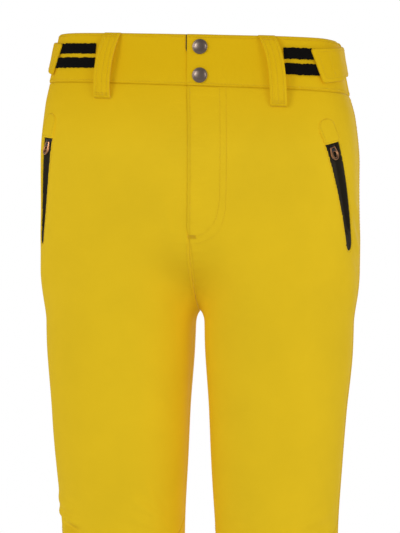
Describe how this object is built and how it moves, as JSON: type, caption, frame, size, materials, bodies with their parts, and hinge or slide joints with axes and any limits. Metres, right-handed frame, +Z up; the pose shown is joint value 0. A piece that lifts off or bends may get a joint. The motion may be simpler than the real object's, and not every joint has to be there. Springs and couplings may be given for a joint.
{
  "type": "ski trousers",
  "caption": "Filled-out softshell over-trousers with zip fly, press studs, belt loops, waist tabs, zipped pockets and snow gaiters.",
  "frame": {"origin": "on the floor, under the middle of the whole garment, midway between the two hems", "axes": "+Z up, -Y out of the front, +X to the wearer's left"},
  "size_m": [0.3484, 0.249, 1.084],
  "materials": {
    "shell_cloth": "mustard yellow stretch woven softshell, matt with a faint sheen",
    "black_zip_tape": "black water-resistant coated zip tape, satin",
    "brown_zip_tape": "dark brown zip tape",
    "black_coil": "black nylon coil",
    "dark_metal": "dark lacquered cast zip slider",
    "copper_rim": "copper-coloured metal tab",
    "snap_metal": "antique pewter press stud",
    "hook_and_loop": "black hook-and-loop pile",
    "elastic": "black ribbed gripper elastic",
    "gaiter_cloth": "black coated nylon snow gaiter",
    "lining": "light grey pocketing"
  },
  "bodies": {
    "root": {"centre_belt_loop": "shell_cloth", "fly_shield": "lining", "fly_zip_coils": "black_coil", "fly_zip_tapes": "black_zip_tape", "left_belt_loop": "shell_cloth", "left_gaiter_elastic": "elastic", "left_hand_zip_coils": "black_coil", "left_hand_zip_garage": "shell_cloth", "left_hand_zip_stop": "black_coil", "left_hand_zip_tapes": "black_zip_tape", "left_hem": "shell_cloth", "left_leg_back": "shell_cloth", "left_loop_tape": "hook_and_loop", "left_lower_front": "shell_cloth", "left_pocket_bag": "lining", "left_rear_belt_loop": "shell_cloth", "left_snow_gaiter": "gaiter_cloth", "left_tab_anchor": "shell_cloth", "left_thigh_front": "shell_cloth", "left_waistband": "shell_cloth", "rear_pocket_bag": "lining", "rear_waistband": "shell_cloth", "rear_zip_coils": "black_coil", "rear_zip_stop": "black_coil", "rear_zip_tapes": "brown_zip_tape", "right_belt_loop": "shell_cloth", "right_gaiter_elastic": "elastic", "right_hand_zip_coils": "black_coil", "right_hand_zip_garage": "shell_cloth", "right_hand_zip_stop": "black_coil", "right_hand_zip_tapes": "black_zip_tape", "right_hem": "shell_cloth", "right_leg_back": "shell_cloth", "right_loop_tape": "hook_and_loop", "right_lower_front": "shell_cloth", "right_pocket_bag": "lining", "right_rear_belt_loop": "shell_cloth", "right_snow_gaiter": "gaiter_cloth", "right_tab_anchor": "shell_cloth", "right_thigh_front": "shell_cloth", "right_waistband": "shell_cloth", "snap_studs": "snap_metal", "waistband_underlap": "shell_cloth"},
    "left_hand_slider": {"left_hand_zip_slider": "dark_metal"},
    "left_hand_puller": {"left_hand_zip_puller": "copper_rim"},
    "right_hand_slider": {"right_hand_zip_slider": "dark_metal"},
    "right_hand_puller": {"right_hand_zip_puller": "copper_rim"},
    "rear_slider": {"rear_zip_slider": "dark_metal"},
    "rear_puller": {"rear_zip_puller": "copper_rim"},
    "fly_slider": {"fly_zip_slider": "dark_metal"},
    "fly_flap": {"fly_flap": "shell_cloth", "fly_flap_band": "shell_cloth", "snap_caps": "snap_metal", "snap_sockets": "snap_metal"},
    "left_tab": {"left_waist_tab": "shell_cloth", "left_tab_hook": "hook_and_loop"},
    "right_tab": {"right_waist_tab": "shell_cloth", "right_tab_hook": "hook_and_loop"}
  },
  "joints": [
    {"name": "left_hand_zip_slide", "type": "slide", "parent": "root", "child": "left_hand_slider", "axis": [0.1451, 0.2366, -0.9607], "range_m": [0, 0.084]},
    {"name": "left_hand_zip_puller", "type": "hinge", "parent": "left_hand_slider", "child": "left_hand_puller", "pos_m": [0.15162, -0.09644, 0.96056], "axis": [-0.4883, -0.8273, -0.2776], "range_deg": [0, 95]},
    {"name": "right_hand_zip_slide", "type": "slide", "parent": "root", "child": "right_hand_slider", "axis": [-0.0737, 0.119, -0.9902], "range_m": [0, 0.084]},
    {"name": "right_hand_zip_puller", "type": "hinge", "parent": "right_hand_slider", "child": "right_hand_puller", "pos_m": [-0.15712, -0.09124, 0.96793], "axis": [-0.5175, 0.8441, 0.14], "range_deg": [0, 95]},
    {"name": "rear_zip_slide", "type": "slide", "parent": "root", "child": "rear_slider", "axis": [0.0331, 0.2372, -0.9709], "range_m": [0, 0.062]},
    {"name": "rear_zip_puller", "type": "hinge", "parent": "rear_slider", "child": "rear_puller", "pos_m": [0.16503, 0.00521, 0.99801], "axis": [0.1688, -0.9588, -0.2285], "range_deg": [0, 95]},
    {"name": "fly_zip_slide", "type": "slide", "parent": "root", "child": "fly_slider", "axis": [0, -0.0014, -1], "range_m": [0, 0.118]},
    {"name": "fly_flap_fold", "type": "hinge", "parent": "root", "child": "fly_flap", "pos_m": [0.022, -0.11996, 0.96843], "axis": [0.1954, 0.0037, 0.9807], "range_deg": [0, 95]},
    {"name": "left_tab_peel", "type": "hinge", "parent": "root", "child": "left_tab", "pos_m": [0.14849, 0.04476, 1.04567], "axis": [-0.1427, -0.0577, 0.9881], "range_deg": [0, 100]},
    {"name": "right_tab_peel", "type": "hinge", "parent": "root", "child": "right_tab", "pos_m": [-0.14849, 0.04476, 1.05633], "axis": [-0.1574, 0.0636, -0.9855], "range_deg": [0, 100]}
  ]
}
